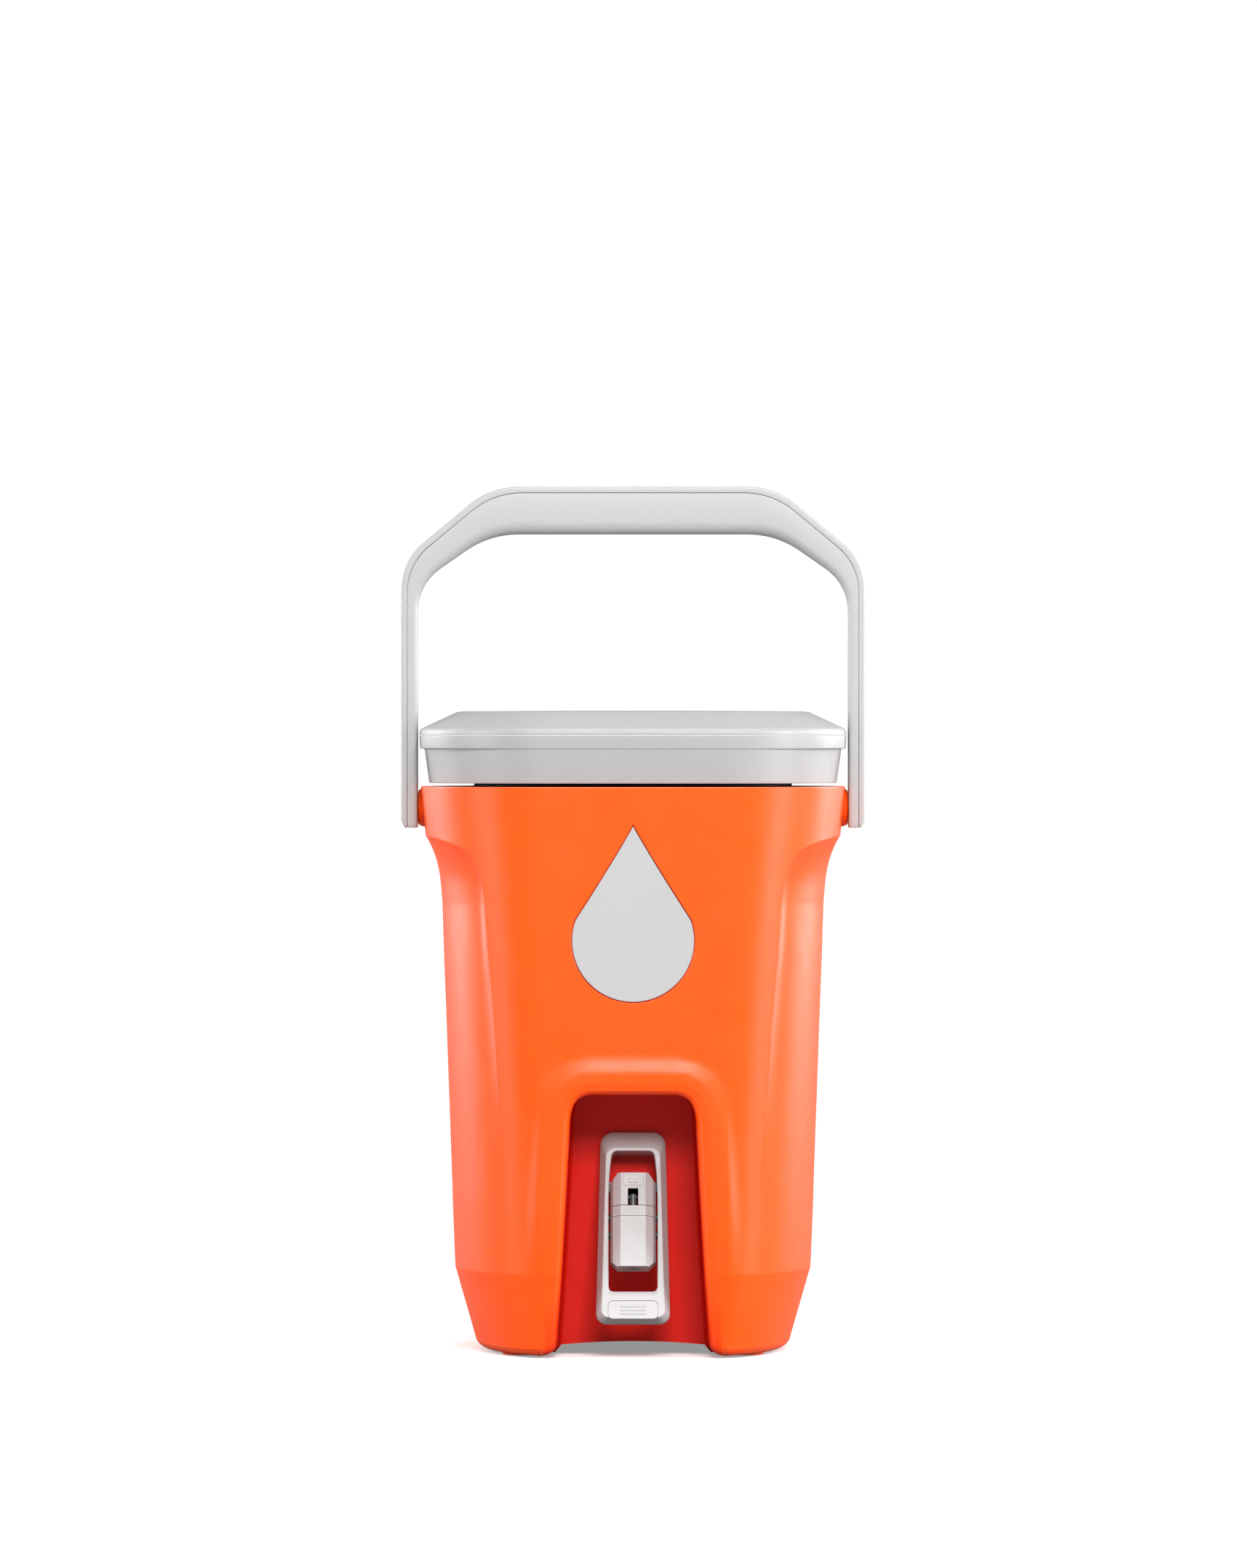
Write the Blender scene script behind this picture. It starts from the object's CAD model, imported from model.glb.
"""The looks of an insulated drinks jug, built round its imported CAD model.

Everything is in the part's frame: -Y is the front, +Z is up. Blender works in metres;
the tables below are in millimetres and are scaled by MM as each mesh is made.
"""

import math

import bpy
import numpy as np
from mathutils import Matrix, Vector
from mathutils.geometry import delaunay_2d_cdt


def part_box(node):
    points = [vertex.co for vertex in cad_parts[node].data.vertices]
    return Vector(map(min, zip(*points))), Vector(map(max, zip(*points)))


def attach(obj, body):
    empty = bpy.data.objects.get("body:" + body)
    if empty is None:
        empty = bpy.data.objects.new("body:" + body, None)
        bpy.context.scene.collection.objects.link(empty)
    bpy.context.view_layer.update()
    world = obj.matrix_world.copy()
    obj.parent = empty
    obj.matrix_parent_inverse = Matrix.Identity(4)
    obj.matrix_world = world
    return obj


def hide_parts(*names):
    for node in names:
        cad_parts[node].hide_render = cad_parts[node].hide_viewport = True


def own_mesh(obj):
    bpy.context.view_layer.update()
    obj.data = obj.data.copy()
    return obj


MM = 0.001

# ------------------------------------------------------------------ body, in millimetres
RIM_Z = 365.0
SKIN_TOP = 364.2  # the rim's rounding starts here
BEVEL_Z = 6.0  # lower edge of the front panel and the flanks
BASE_Z = 1.4  # underside
KINK_Z = 54.0  # where the sides start to draw in towards the base
FLAT = 59.0  # half width of the flat front
CORNER = 160.0  # length given to each rounded corner, from the flat front to mid-depth
HALF_LOOP = FLAT + CORNER
FRONT_AT_KINK = 115.5
FRONT_SLOPE = 7.0 / 311.0
FRONT_AT_BEVEL = 107.0

# Half width of the outer layer (front panel and ear collar) by height.
LAYER_Z = [1.4, 6, 54, 109, 167, 226, 254, 290, 307, 318.5, 333.5, 365]
LAYER_HALF = [100.2, 101.5, 115.3, 117.4, 121.4, 125.4, 127.5, 130.4, 131.9, 133.0, 134.5, 137.6]
POWER_Z = [6, 54, 167, 290, 365]
POWER = [1.75, 1.85, 1.95, 2.05, 2.15]

# Edge of the front panel where the recessed flanks begin: half width by height.
CREASE = [
    (109, 81), (167, 85.5), (226, 89.6), (254, 92.2), (280, 94.1), (296, 95.3), (308, 97.4), (316, 100.4),
    (322, 104.8), (326.5, 111), (330, 121), (332.2, 129.5),
]
SCOOP_Z = [100, 109, 167, 226, 254, 290, 400]
SCOOP = [0, 0.15, 2.1, 4.0, 5.0, 6.8, 6.8]
SCOOP_RUN = 32.0  # distance over which the flank drops away below the ear
SCOOP_SQUEEZE = 1.7  # how much faster it drops away behind the front panel
CREASE_SOFT = 0.8

# Front edge of the spigot's pocket, from the top centre down to the leg.
POCKET_TOP = 176.6
POCKET_SIDE = [(149, 48.6), (54, 53.7), (10.1, 56.4)]
POCKET_CORNER = 24.0
LEG_ROUND = 4.1
HEEL_POINTS = 9
POCKET_BACK = -58.0
# Rows of the edge from the panel inwards: (distance across, depth), by the pocket and along the base.
POCKET_ROWS = [(0, 0), (2.4, 0.45), (4.9, 1.1), (5.9, 1.9), (6.7, 3.0), (7.3, 4.6), (7.8, 8.0), (8.4, 20.0)]
BASE_ROWS = [(0, 0), (1.0, 0.8), (2.2, 1.9), (3.2, 3.1), (3.9, 4.4), (4.35, 6.0), (4.55, 8.0), (4.6, 20.0)]
LIP_LINE = 2  # the row that is a crisp edge
ROUND_END = 6  # the last row of the rounding behind it
# How the pocket's walls go on to its back: (y, distance drawn in).
POCKET_WALLS = [
    (-78, 0.25), (-64, 0.5), (POCKET_BACK - 2.4, 0.6), (POCKET_BACK - 0.7, 1.3), (POCKET_BACK, 3.0),
]

# The raised hood round the pocket.
HOOD_RISE = 3.0
HOOD_RUN = 13.0
HOOD_REACH = 11.0  # middle of its slope beside the roof; it widens downwards by HOOD_WIDENS
HOOD_WIDENS = 0.11

# The drop emblem, lying in a recess. Rows are (distance grown, depth).
DROP = {"z": 284.0, "height": 112.0, "r": 39.0}
DROP_SHOULDER = math.radians(20)
DROP_GAP = 1.0
DROP_DEPTH = 2.4
DROP_FACE = 0.35
RECESS_INSET = -0.4
RECESS_ROWS = [(0, 0), (-0.18, 0.06), (-0.32, 0.22), (-0.38, 0.5), (RECESS_INSET, DROP_DEPTH)]
PLATE_ROWS = [(0, DROP_DEPTH - 0.1), (0, 0.95), (-0.08, 0.62), (-0.3, 0.42), (-0.7, DROP_FACE)]

# The rim's rounding, from the outside over the top and down the inside: (inset, z).
RIM_ROWS = [
    (0, SKIN_TOP), (0.1, 364.6), (0.4, 364.9), (0.8, RIM_Z),
    (2.4, RIM_Z), (2.8, 364.7), (3, SKIN_TOP), (3, 356),
]

# The round pad that the spigot is clamped against: (radius past the gasket's, y).
BOSS_PAST_GASKET = 4.6
BOSS_FACE = -62.0
BOSS_ROWS = [(-1.2, 0), (-0.5, 0.3), (-0.1, 1.0), (0, 1.8), (0.1, 2.6), (0.6, 3.5), (1.8, 4)]

# The tunnel in the underside.
ARCH = {"top": 8.4, "sag": 2.2, "narrow": 46.0, "wide": 50.0, "back": 70.0, "fade": 8.0}


# ------------------------------------------------------------------ mesh helpers
def smoothstep(low, high, value):
    t = np.clip((value - low) / (high - low), 0, 1)
    return t * t * (3 - 2 * t)


def spline(points, per_span):
    """A Catmull-Rom curve through the points, with per_span samples in each span."""
    p = np.asarray(points, float)
    ends = np.vstack([2 * p[0] - p[1], p, 2 * p[-1] - p[-2]])
    out = []
    for a, b, c, d in zip(ends[:-3], ends[1:-2], ends[2:-1], ends[3:]):
        t = np.linspace(0, 1, per_span, endpoint=False)[:, None]
        square, cube = 2 * a - 5 * b + 4 * c - d, 3 * b - a - 3 * c + d
        out.append(0.5 * (2 * b + (c - a) * t + square * t**2 + cube * t**3))
    return np.vstack([*out, p[-1:]])


def quadratic(start, control, end, count):
    t = np.linspace(0, 1, count)[:, None]
    a, b, c = (np.asarray(v, float) for v in (start, control, end))
    return (1 - t) ** 2 * a + 2 * t * (1 - t) * b + t**2 * c


def resample(points, step):
    """The polyline with points about step apart, its ends kept."""
    p = np.asarray(points, float)
    run = np.concatenate([[0], np.cumsum(np.linalg.norm(np.diff(p, axis=0), axis=1))])
    at = np.linspace(0, run[-1], max(2, int(round(run[-1] / step)) + 1))
    return np.stack([np.interp(at, run, p[:, i]) for i in range(p.shape[1])], axis=1)


def side_normals(points):
    """Unit normals to the left of a polyline."""
    p = np.asarray(points, float)
    along = np.gradient(p, axis=0)
    along /= np.linalg.norm(along, axis=1)[:, None]
    return np.stack([-along[:, 1], along[:, 0]], axis=1)


def distance_to(points, line, stretch=(1.0, 1.0)):
    """Distance of each point from a polyline, with its axes stretched."""
    scale = np.asarray(stretch)
    p = np.asarray(points, float) * scale
    q = np.asarray(line, float) * scale
    a, d = q[:-1], np.diff(q, axis=0)
    length = np.maximum((d * d).sum(1), 1e-12)
    best = np.full(len(p), np.inf)
    for start in range(0, len(p), 4000):
        part = p[start : start + 4000]
        rel = part[:, None, :] - a[None]
        t = np.clip((rel * d[None]).sum(2) / length[None], 0, 1)
        gap = np.linalg.norm(rel - t[..., None] * d[None], axis=2)
        best[start : start + 4000] = gap.min(1)
    return best


def inside(points, polygon):
    """Which points lie inside a closed polygon."""
    x, y = np.asarray(points, float).T
    hit = np.zeros(len(x), bool)
    q = np.asarray(polygon, float)
    for (x0, y0), (x1, y1) in zip(q, np.roll(q, -1, axis=0)):
        if y0 == y1:
            continue
        crosses = (y0 > y) != (y1 > y)
        hit ^= crosses & (x < (x1 - x0) * (y - y0) / (y1 - y0) + x0)
    return hit


def triangulated(lines, spacing, low, high, keep):
    """Points and triangles over a flat region: constraint lines, filled with a staggered grid."""
    points, edges = [], []
    for line in lines:
        start = len(points)
        points += [tuple(p) for p in line]
        edges += [(i, i + 1) for i in range(start, len(points) - 1)]
    rows = np.arange(low[1] + spacing * 0.5, high[1], spacing * 0.87)
    grid = [
        (x, y)
        for i, y in enumerate(rows)
        for x in np.arange(low[0] + spacing * (0.5 if i % 2 else 0.25), high[0], spacing)
    ]
    grid = np.array(grid)
    near = np.full(len(grid), np.inf)
    for line in lines:
        near = np.minimum(near, distance_to(grid, line))
    points += [tuple(p) for p in grid[near > spacing * 0.45]]
    made = delaunay_2d_cdt([Vector(p) for p in points], edges, [], 0, 1e-6)
    flat = np.array([tuple(v) for v in made[0]])
    faces = np.array([f for f in made[2] if len(f) == 3])
    faces = faces[keep(flat[faces].mean(1))]
    used, index = np.unique(faces, return_inverse=True)
    return flat[used], index.reshape(-1, 3)


def grid_faces(rows, columns, closed=False):
    """Quads of a grid whose points run along each row first."""
    quads = []
    for r in range(rows - 1):
        here, above = r * columns, (r + 1) * columns
        for c in range(columns if closed else columns - 1):
            ahead = (c + 1) % columns
            quads.append((here + c, here + ahead, above + ahead, above + c))
    return quads


def welded(points, faces, step=1e-3):
    """Points closer than the rounding step merged, with collapsed faces dropped."""
    keys = np.round(np.asarray(points) / step).astype(np.int64)
    _, first, inverse = np.unique(keys, axis=0, return_index=True, return_inverse=True)
    inverse = inverse.reshape(-1)
    out = []
    for face in faces:
        ids = [int(inverse[i]) for i in face]
        ids = [v for i, v in enumerate(ids) if v != ids[i - 1]]
        if len(set(ids)) >= 3 and len(set(ids)) == len(ids):
            out.append(tuple(ids))
    return np.asarray(points)[first], out


def face_normals(points, faces):
    out = np.zeros((len(faces), 3))
    for i, face in enumerate(faces):
        corner = points[list(face)]
        after, before = np.roll(corner, -1, axis=0), np.roll(corner, 1, axis=0)
        out[i] = np.cross(corner - after, corner - before).sum(0)
    return out


def vertex_normals(points, faces):
    flat = face_normals(points, faces)
    out = np.zeros((len(points), 3))
    for normal, face in zip(flat, faces):
        for i in face:
            out[i] += normal
    return out / np.maximum(np.linalg.norm(out, axis=1), 1e-12)[:, None]


class Skin:
    """A mesh made of patches whose borders stay crisp."""

    def __init__(self):
        self.points, self.faces, self.normals, self.count = [], [], [], 0

    def add(self, points, faces, outward, normals=None, mirror=True):
        """outward(centres) gives directions that the faces should look along."""
        points = np.asarray(points, float)
        faces = [tuple(int(i) for i in f) for f in faces]
        if mirror:
            flipped = [tuple(i + len(points) for i in reversed(f)) for f in faces]
            points = np.vstack([points, points * [-1, 1, 1]])
            faces = faces + flipped
            if normals is not None:
                normals = np.vstack([normals, normals * [-1, 1, 1]])
        if normals is None:
            points, faces = welded(points, faces)
        centres = np.array([points[list(f)].mean(0) for f in faces])
        facing = (face_normals(points, faces) * outward(centres)).sum()
        if facing < 0:
            faces = [tuple(reversed(f)) for f in faces]
        if normals is None:
            normals = vertex_normals(points, faces)
        self.points.append(points)
        self.normals.append(normals)
        self.faces += [tuple(i + self.count for i in f) for f in faces]
        self.count += len(points)

    def object(self, name, material):
        mesh = bpy.data.meshes.new(name)
        mesh.from_pydata((np.vstack(self.points) * MM).tolist(), [], self.faces)
        mesh.polygons.foreach_set("use_smooth", [True] * len(mesh.polygons))
        mesh.normals_split_custom_set_from_vertices(np.vstack(self.normals).tolist())
        mesh.update()
        return linked(name, mesh, material)


def linked(name, mesh, material):
    made = bpy.data.objects.new(name, mesh)
    bpy.context.scene.collection.objects.link(made)
    mesh.materials.append(material)
    return made


def solid_object(name, points, faces, material, crisp=35.0):
    """A closed mesh, welded, facing out, smooth but for edges sharper than crisp degrees."""
    points, faces = welded(points, faces)
    volume = sum(
        np.dot(points[f[0]], np.cross(points[f[i]], points[f[i + 1]]))
        for f in faces
        for i in range(1, len(f) - 1)
    )
    if volume < 0:
        faces = [tuple(reversed(f)) for f in faces]
    mesh = bpy.data.meshes.new(name)
    mesh.from_pydata((points * MM).tolist(), [], faces)
    mesh.polygons.foreach_set("use_smooth", [True] * len(mesh.polygons))
    mesh.set_sharp_from_angle(angle=math.radians(crisp))
    mesh.update()
    return linked(name, mesh, material)


def lofted(rings, ends=True):
    """Points and faces through closed rings of equal counts; flat fans close the ends."""
    rings = [np.asarray(r, float) for r in rings]
    columns = len(rings[0])
    points = np.vstack(rings)
    faces = grid_faces(len(rings), columns, closed=True)
    if ends:
        for start, ring, turn in ((0, rings[0], -1), ((len(rings) - 1) * columns, rings[-1], 1)):
            centre = len(points)
            points = np.vstack([points, ring.mean(0)])
            for c in range(columns):
                face = (start + c, start + (c + 1) % columns, centre)
                faces.append(face if turn > 0 else tuple(reversed(face)))
    return points, faces


def turned(profile, sides=72):
    """Rings about Z from (radius, height) pairs."""
    angle = np.linspace(0, 2 * math.pi, sides, endpoint=False)
    x, y = np.cos(angle), np.sin(angle)
    return [np.stack([r * x, r * y, np.full(sides, float(h))], axis=1) for r, h in profile]


def along_axis(points, axis, origin=(0, 0, 0)):
    """Points drawn about Z, brought to another axis and place."""
    x, y, z = np.asarray(points, float).T
    placed = {"x": (z, x, y), "-x": (-z, -x, y), "y": (x, z, y), "z": (x, y, z)}[axis]
    return np.stack(placed, axis=1) + np.asarray(origin, float)


def both_sides(right):
    """A closed outline from its right half, which starts and ends on the middle line."""
    return np.vstack([right, right[1:-1][::-1] * [-1, 1]])


def level(normals):
    """Normals laid flat and made unit length again."""
    flat = normals * [1, 1, 0]
    return flat / np.linalg.norm(flat, axis=1)[:, None]


# ------------------------------------------------------------------ body surface
def front_depth(z):
    """How far the flat front stands before the centre plane."""
    above = FRONT_AT_KINK + (z - KINK_Z) * FRONT_SLOPE
    below = FRONT_AT_BEVEL + (z - BEVEL_Z) * (FRONT_AT_KINK - FRONT_AT_BEVEL) / (KINK_Z - BEVEL_Z)
    return np.where(z > KINK_Z, above, below)


def corner_angle(s):
    return np.clip((s - FLAT) / CORNER, 0, 1) * math.pi / 2


def s_at(x, z):
    """The place along the outline at half width x."""
    half = np.interp(z, LAYER_Z, LAYER_HALF)
    power = np.interp(z, POWER_Z, POWER)
    u = np.clip((x - FLAT) / (half - FLAT), 0, 1)
    return np.where(x <= FLAT, x, FLAT + CORNER * np.arcsin(u ** (power / 2)) * 2 / math.pi)


def crease_line():
    """The edge of the front panel as (place along the outline, height), up to the middle of the side."""
    line = [(float(s_at(x, z)), z) for z, x in CREASE] + [(HALF_LOOP, 333.4)]
    return spline(line, 8)


CREASE_LINE = crease_line()


def scoop(s, z):
    """How far the flank is drawn in behind the front panel and under the ear."""
    folded = HALF_LOOP - np.abs(s - HALF_LOOP)
    start = np.interp(z, CREASE_LINE[:, 1], CREASE_LINE[:, 0], left=CREASE_LINE[0, 0], right=1e3)
    within = folded > start
    depth = np.zeros(len(s))
    if within.any():
        flat = np.stack([folded[within], z[within]], axis=1)
        gap = distance_to(flat, CREASE_LINE, (SCOOP_SQUEEZE, 1.0))
        fall = 1 - (1 - np.clip(gap / SCOOP_RUN, 0, 1)) ** 2.4
        depth[within] = fall * np.interp(z[within], SCOOP_Z, SCOOP)
    return depth


def pocket_edge():
    """The panel's edge round the pocket, (x, z), from the top centre to the end of the leg's rounding."""
    (top_z, top_half), _, (foot_z, foot_x) = ((z, x) for z, x in POCKET_SIDE)
    roof = [(x, POCKET_TOP) for x in np.linspace(0, top_half - POCKET_CORNER, 10)]
    bend = quadratic(roof[-1], (top_half - 0.6, POCKET_TOP), (top_half, top_z), 16)
    side = resample([(x, z) for z, x in POCKET_SIDE], 3.0)
    turn = np.linspace(math.pi, 1.5 * math.pi, HEEL_POINTS)
    centre = (foot_x + LEG_ROUND, foot_z)
    heel = [(centre[0] + LEG_ROUND * math.cos(a), centre[1] + LEG_ROUND * math.sin(a)) for a in turn]
    return np.vstack([roof[:-1], bend[:-1], side[:-1], heel])


POCKET_EDGE = pocket_edge()
BELOW = -5.0  # a height under the base, where regions are closed
POCKET_HALF = np.vstack([POCKET_EDGE, [(POCKET_EDGE[-1, 0], BELOW), (0, BELOW)]])


def hood(x, z):
    """The soft raised surround of the pocket."""
    side = np.abs(x)
    near = (side < 100) & (z < POCKET_TOP + 40)
    rise = np.zeros(len(x))
    if near.any():
        p = np.stack([side[near], z[near]], axis=1)
        gap = np.where(inside(p, POCKET_HALF), 0, distance_to(p, POCKET_EDGE[:-HEEL_POINTS]))
        middle = HOOD_REACH + np.clip(155 - p[:, 1], 0, 110) * HOOD_WIDENS
        fall = 1 - smoothstep(middle - HOOD_RUN / 2, middle + HOOD_RUN / 2, gap)
        rise[near] = HOOD_RISE * fall * smoothstep(40, 95, p[:, 1])
    return rise


def body_at(s, z):
    """Points on the body's outside; s runs round the right half from the front centre to the back centre."""
    s, z = np.broadcast_arrays(np.asarray(s, float), np.asarray(z, float))
    s, z = s.ravel(), z.ravel()
    mirror = np.where(s < 0, -1.0, np.where(s > 2 * HALF_LOOP, -1.0, 1.0))
    run = np.where(s < 0, -s, np.where(s > 2 * HALF_LOOP, 4 * HALF_LOOP - s, s))
    back = run > HALF_LOOP
    folded = HALF_LOOP - np.abs(run - HALF_LOOP)
    half = np.interp(z, LAYER_Z, LAYER_HALF)
    power = np.interp(z, POWER_Z, POWER)
    deep = front_depth(z)
    angle = corner_angle(folded)
    sine, cosine = np.sin(angle), np.clip(np.cos(angle), 0, 1)
    flat = FLAT * np.interp(z, [BASE_Z, 30], [0.95, 1.0])
    x = np.where(folded < FLAT, folded * flat / FLAT, flat + (half - flat) * sine ** (2 / power))
    y = -deep * cosine ** (2 / power)
    nx = np.where(folded < FLAT, 0, sine ** (2 - 2 / power) / (half - flat))
    ny = -np.maximum(cosine, 1e-6) ** (2 - 2 / power) / deep
    length = np.hypot(nx, ny)
    inward = scoop(run, z)
    x = x - inward * nx / length
    y = y - inward * ny / length
    y = y - np.where(back, 0, hood(x, z)) * smoothstep(80, 60, folded)
    return np.stack([x * mirror, np.where(back, -y, y), z], axis=1)


def body_normals(s, z, step=0.5):
    high, low = np.minimum(z + step, RIM_Z), np.maximum(z - step, BEVEL_Z - 1)
    round_way = body_at(s + step, z) - body_at(s - step, z)
    up = body_at(s, high) - body_at(s, low)
    n = np.cross(round_way, up)
    return n / np.linalg.norm(n, axis=1)[:, None]


def drop_outline(grow, count=44):
    """The emblem's outline, (x, z) about its middle, from the tip round the right to the tip."""
    r = DROP["r"] + grow
    centre = -DROP["height"] / 2 + DROP["r"]
    tip = DROP["height"] / 2 + grow * 1.8
    start = (r * math.cos(DROP_SHOULDER), centre + r * math.sin(DROP_SHOULDER))
    right = quadratic((0, tip), (r * 0.35, centre + r * 1.25), start, count // 2)
    sweep = np.linspace(DROP_SHOULDER, -math.pi / 2, count // 2)
    arc = np.stack([r * np.cos(sweep), centre + r * np.sin(sweep)], axis=1)
    arc[-1, 0] = 0
    return np.vstack([right[:-1], arc])


def on_front(flat, depth):
    """Points (x, z) laid on the front face, sunk in by depth."""
    x, z = np.asarray(flat, float).T
    return np.stack([x, depth - front_depth(z), z], axis=1)


def out_from_axis(centres):
    return centres * [1, 1, 0]


def towards(x, y, z):
    return lambda centres: np.tile([x, y, z], (len(centres), 1))


def skin_patch(shell):
    """Everything outside the pocket, above the base's edge and below the rim."""
    shifted = []
    for gap in (-CREASE_SOFT, 0, CREASE_SOFT, 3.0, 6.5, 11.0):
        line = CREASE_LINE + side_normals(CREASE_LINE) * -gap
        line = line[(line[:, 0] < HALF_LOOP - 0.4) & (line[:, 1] > 104)]
        shifted += [resample(line, 3.5), resample(line, 3.5) * [-1, 1] + [2 * HALF_LOOP, 0]]
    recess = drop_outline(DROP_GAP) + [0, DROP["z"]]
    end = 2 * HALF_LOOP
    base = [(s, BEVEL_Z) for s in base_places()]
    rows = [resample([(FLAT + 6, z), (end, z)], 4.5) for z in (KINK_Z - 1, KINK_Z, KINK_Z + 1)]
    top = resample([(0, SKIN_TOP), (end, SKIN_TOP)], 3.5)
    centre = resample([(0, recess[0, 1]), (0, SKIN_TOP)], 4.5)
    middle = resample([(0, POCKET_TOP), (0, recess[-1, 1])], 4.5)
    back = resample([(end, BEVEL_Z), (end, SKIN_TOP)], 4.5)
    lines = [POCKET_EDGE, recess, base, *rows, top, centre, middle, back, *shifted]
    drop = np.vstack([recess, [(-1, recess[-1, 1]), (-1, recess[0, 1])]])
    pocket = np.vstack([POCKET_HALF, [(-1, BELOW), (-1, POCKET_TOP)]])

    def keep(c):
        bounded = (c[:, 0] > 0) & (c[:, 0] < end) & (c[:, 1] > BEVEL_Z) & (c[:, 1] < SKIN_TOP)
        return bounded & ~inside(c, pocket) & ~inside(c, drop)

    flat, faces = triangulated(lines, 4.4, (0, BEVEL_Z), (end, SKIN_TOP), keep)
    s, z = flat.T
    shell.add(body_at(s, z), faces, out_from_axis, normals=body_normals(s, z))


def base_places():
    """Places round the base's edge, from the end of the leg's rounding to the back centre."""
    start = float(s_at(POCKET_EDGE[-1, 0], BEVEL_Z))
    return resample([(start, 0), (2 * HALF_LOOP, 0)], 4.0)[:, 0]


def edge_patches(shell):
    """The edge between the outside and what lies behind it: the pocket's lip and the base's bevel."""
    edge = POCKET_EDGE
    inner = -side_normals(edge)
    inner[0] = (0, -1)
    inner[-1] = (0, -1)
    share = np.concatenate([np.zeros(len(edge) - HEEL_POINTS), np.linspace(0, 1, HEEL_POINTS)])
    share = smoothstep(0, 1, share)
    rows = []
    for (across_p, deep_p), (across_b, deep_b) in zip(POCKET_ROWS, BASE_ROWS):
        across = across_p + (across_b - across_p) * share
        deep = deep_p + (deep_b - deep_p) * share
        at = edge + inner * across[:, None]
        lift = hood(at[:, 0], np.maximum(at[:, 1], 10))
        rows.append(np.stack([at[:, 0], deep - front_depth(edge[:, 1]) - lift, at[:, 1]], axis=1))
    walls = []
    for y, across in POCKET_WALLS:
        ring = rows[-1].copy()
        ring[:, 1] = y
        ring[:, [0, 2]] += inner * (across * (1 - share))[:, None]
        walls.append(ring)
    places = base_places()[1:]
    border = body_at(places, np.full(len(places), BEVEL_Z))
    out = level(body_normals(places, np.full(len(places), BEVEL_Z + 1.5)))
    full = []
    for (across, deep), pocket_row in zip(BASE_ROWS, rows):
        under = border - out * deep - [0, 0, across]
        full.append(np.vstack([pocket_row, under]))
    columns, count = len(full[0]), len(edge)
    shell.add(np.vstack(full[: LIP_LINE + 1]), grid_faces(LIP_LINE + 1, columns), facing_band)
    deep_rows = full[LIP_LINE : ROUND_END + 1]
    inside_rows = [rows[ROUND_END], rows[ROUND_END + 1], *walls]
    faces = grid_faces(len(deep_rows), columns)
    start = len(deep_rows) * columns
    faces += [tuple(i + start for i in f) for f in grid_faces(len(inside_rows), count)]
    shell.add(np.vstack([*deep_rows, *inside_rows]), faces, facing_band)
    return walls[-1], full[ROUND_END][count - 1 :]


def facing_band(centres):
    """Out of the body: into the pocket by its walls, and down and out along the base."""
    x, y, _ = centres.T
    by_pocket = (np.abs(x) < 60) & (y < POCKET_BACK + 1)
    down = np.full(len(centres), -1.0)
    into = np.stack([-np.sign(x), down * 0.3, down], axis=1)
    away = np.stack([x / 100, y / 100, down], axis=1)
    return np.where(by_pocket[:, None], into, away)


def arch_height(x, y):
    """The underside: flat, with a shallow tunnel from the pocket to ARCH back."""
    side = np.abs(x)
    vault = ARCH["top"] - ARCH["sag"] * (side / ARCH["narrow"]) ** 2
    shoulder = np.interp(side, [ARCH["narrow"], ARCH["wide"]], [ARCH["top"] - ARCH["sag"], BASE_Z])
    rise = np.where(side < ARCH["narrow"], vault, shoulder)
    end = 1 - smoothstep(ARCH["back"], ARCH["back"] + ARCH["fade"], y)
    return BASE_Z + (rise - BASE_Z) * end


def underside_patch(shell, border, leg_end):
    """The base plate, drawn over its plan."""
    outline = border[:, :2]
    leg_x, leg_y = leg_end
    leg = resample([(leg_x, border[0, 1]), (leg_x, leg_y)], 4.0)
    rear = resample([(leg_x, leg_y), (0, leg_y)], 4.0)
    spine = resample([(0, leg_y), (0, border[-1, 1])], 5.0)
    faded = ARCH["back"] + ARCH["fade"]
    tunnel = [resample([(x, leg_y), (x, faded)], 4.0) for x in (ARCH["narrow"], ARCH["wide"])]
    stops = [resample([(0, y), (ARCH["wide"], y)], 4.0) for y in (ARCH["back"], faded)]
    region = np.vstack([outline, [(0, border[-1, 1]), (0, leg_y), (leg_x, leg_y)]])
    lines = [outline, leg, rear, spine, *tunnel, *stops]
    flat, faces = triangulated(lines, 5.0, (0, -120), (110, 120), lambda c: inside(c, region))
    x, y = flat.T
    gap = distance_to(flat, outline)
    z = arch_height(x, y) + (border[:, 2].mean() - BASE_Z) * (1 - smoothstep(0, 12, gap))
    shell.add(np.stack([x, y, z], axis=1), faces, towards(0, 0, -1))


def pocket_wall_patch(shell, ring):
    """The pocket's back wall, down to the arch."""
    edge = ring[:, [0, 2]]
    vault = [(x, float(arch_height(x, 0.0))) for x in np.linspace(ARCH["narrow"], 0, 17)]
    foot = np.vstack([resample([tuple(edge[-1]), (ARCH["wide"], BASE_Z), vault[0]], 3.0)[:-1], vault])
    spine = resample([(0, ARCH["top"]), tuple(edge[0])], 4.0)
    region = np.vstack([edge, foot])
    flat, faces = triangulated([edge, foot, spine], 6.0, (0, 0), (60, 175), lambda c: inside(c, region))
    points = np.stack([flat[:, 0], np.full(len(flat), POCKET_BACK), flat[:, 1]], axis=1)
    shell.add(points, faces, towards(0, -1, 0))


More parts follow.
